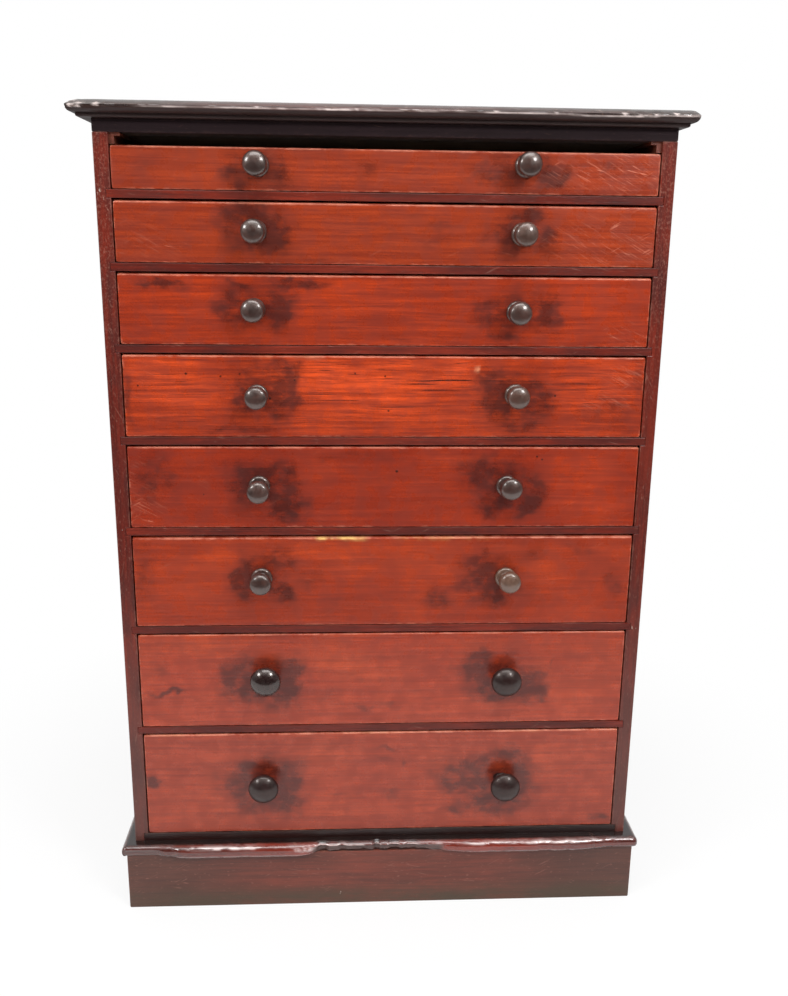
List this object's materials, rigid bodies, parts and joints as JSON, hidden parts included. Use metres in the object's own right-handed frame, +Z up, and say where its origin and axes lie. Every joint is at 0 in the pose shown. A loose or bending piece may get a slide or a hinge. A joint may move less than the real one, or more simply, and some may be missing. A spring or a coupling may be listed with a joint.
{
  "type": "collectors cabinet",
  "caption": "Narrow wooden cabinet of shallow, graduated full-width drawers with turned knobs, a moulded top and a plinth, for keeping flat collections.",
  "frame": {"origin": "on the floor, in the middle of the cabinet's outline seen from above, knobs included", "axes": "+X to the right as seen from the front, +Y from the front to the back, +Z up"},
  "size_m": [0.5726, 0.4264, 0.8346],
  "materials": {
    "top_wood": "dark worn varnish",
    "case_wood": "dark red stain, varnished",
    "plinth_wood": "brown-red stain, worn varnish",
    "front_wood": "orange-red stain, varnished",
    "knob_wood": "polished dark wood",
    "inner_wood": "bare aged pine",
    "back_wood": "bare darkened pine"
  },
  "bodies": {
    "case": {"top_board": "top_wood", "sub_top": "top_wood", "side_left": "case_wood", "side_right": "case_wood", "bottom_board": "case_wood", "drawer_rails": "case_wood", "runners_left": "inner_wood", "runners_right": "inner_wood", "kickers": "inner_wood", "drawer_stops": "inner_wood", "back_boards": "back_wood", "plinth_front": "plinth_wood", "plinth_left": "plinth_wood", "plinth_right": "plinth_wood", "plinth_back": "inner_wood", "plinth_blocks": "inner_wood", "cap_front": "plinth_wood", "cap_left": "plinth_wood", "cap_right": "plinth_wood"},
    "drawer_1": {"drawer_1_front": "front_wood", "drawer_1_sides": "inner_wood", "drawer_1_back": "inner_wood", "drawer_1_bottom": "inner_wood", "drawer_1_knobs": "knob_wood"},
    "drawer_2": {"drawer_2_front": "front_wood", "drawer_2_sides": "inner_wood", "drawer_2_back": "inner_wood", "drawer_2_bottom": "inner_wood", "drawer_2_knobs": "knob_wood"},
    "drawer_3": {"drawer_3_front": "front_wood", "drawer_3_sides": "inner_wood", "drawer_3_back": "inner_wood", "drawer_3_bottom": "inner_wood", "drawer_3_knobs": "knob_wood"},
    "drawer_4": {"drawer_4_front": "front_wood", "drawer_4_sides": "inner_wood", "drawer_4_back": "inner_wood", "drawer_4_bottom": "inner_wood", "drawer_4_knobs": "knob_wood"},
    "drawer_5": {"drawer_5_front": "front_wood", "drawer_5_sides": "inner_wood", "drawer_5_back": "inner_wood", "drawer_5_bottom": "inner_wood", "drawer_5_knobs": "knob_wood"},
    "drawer_6": {"drawer_6_front": "front_wood", "drawer_6_sides": "inner_wood", "drawer_6_back": "inner_wood", "drawer_6_bottom": "inner_wood", "drawer_6_knobs": "knob_wood"},
    "drawer_7": {"drawer_7_front": "front_wood", "drawer_7_sides": "inner_wood", "drawer_7_back": "inner_wood", "drawer_7_bottom": "inner_wood", "drawer_7_knobs": "knob_wood"},
    "drawer_8": {"drawer_8_front": "front_wood", "drawer_8_sides": "inner_wood", "drawer_8_back": "inner_wood", "drawer_8_bottom": "inner_wood", "drawer_8_knobs": "knob_wood"}
  },
  "joints": [
    {"name": "drawer_1_slide", "type": "slide", "parent": "case", "child": "drawer_1", "axis": [0, -1, 0], "range_m": [0, 0.3]},
    {"name": "drawer_2_slide", "type": "slide", "parent": "case", "child": "drawer_2", "axis": [0, -1, 0], "range_m": [0, 0.3]},
    {"name": "drawer_3_slide", "type": "slide", "parent": "case", "child": "drawer_3", "axis": [0, -1, 0], "range_m": [0, 0.3]},
    {"name": "drawer_4_slide", "type": "slide", "parent": "case", "child": "drawer_4", "axis": [0, -1, 0], "range_m": [0, 0.3]},
    {"name": "drawer_5_slide", "type": "slide", "parent": "case", "child": "drawer_5", "axis": [0, -1, 0], "range_m": [0, 0.3]},
    {"name": "drawer_6_slide", "type": "slide", "parent": "case", "child": "drawer_6", "axis": [0, -1, 0], "range_m": [0, 0.3]},
    {"name": "drawer_7_slide", "type": "slide", "parent": "case", "child": "drawer_7", "axis": [0, -1, 0], "range_m": [0, 0.3]},
    {"name": "drawer_8_slide", "type": "slide", "parent": "case", "child": "drawer_8", "axis": [0, -1, 0], "range_m": [0, 0.3]}
  ]
}
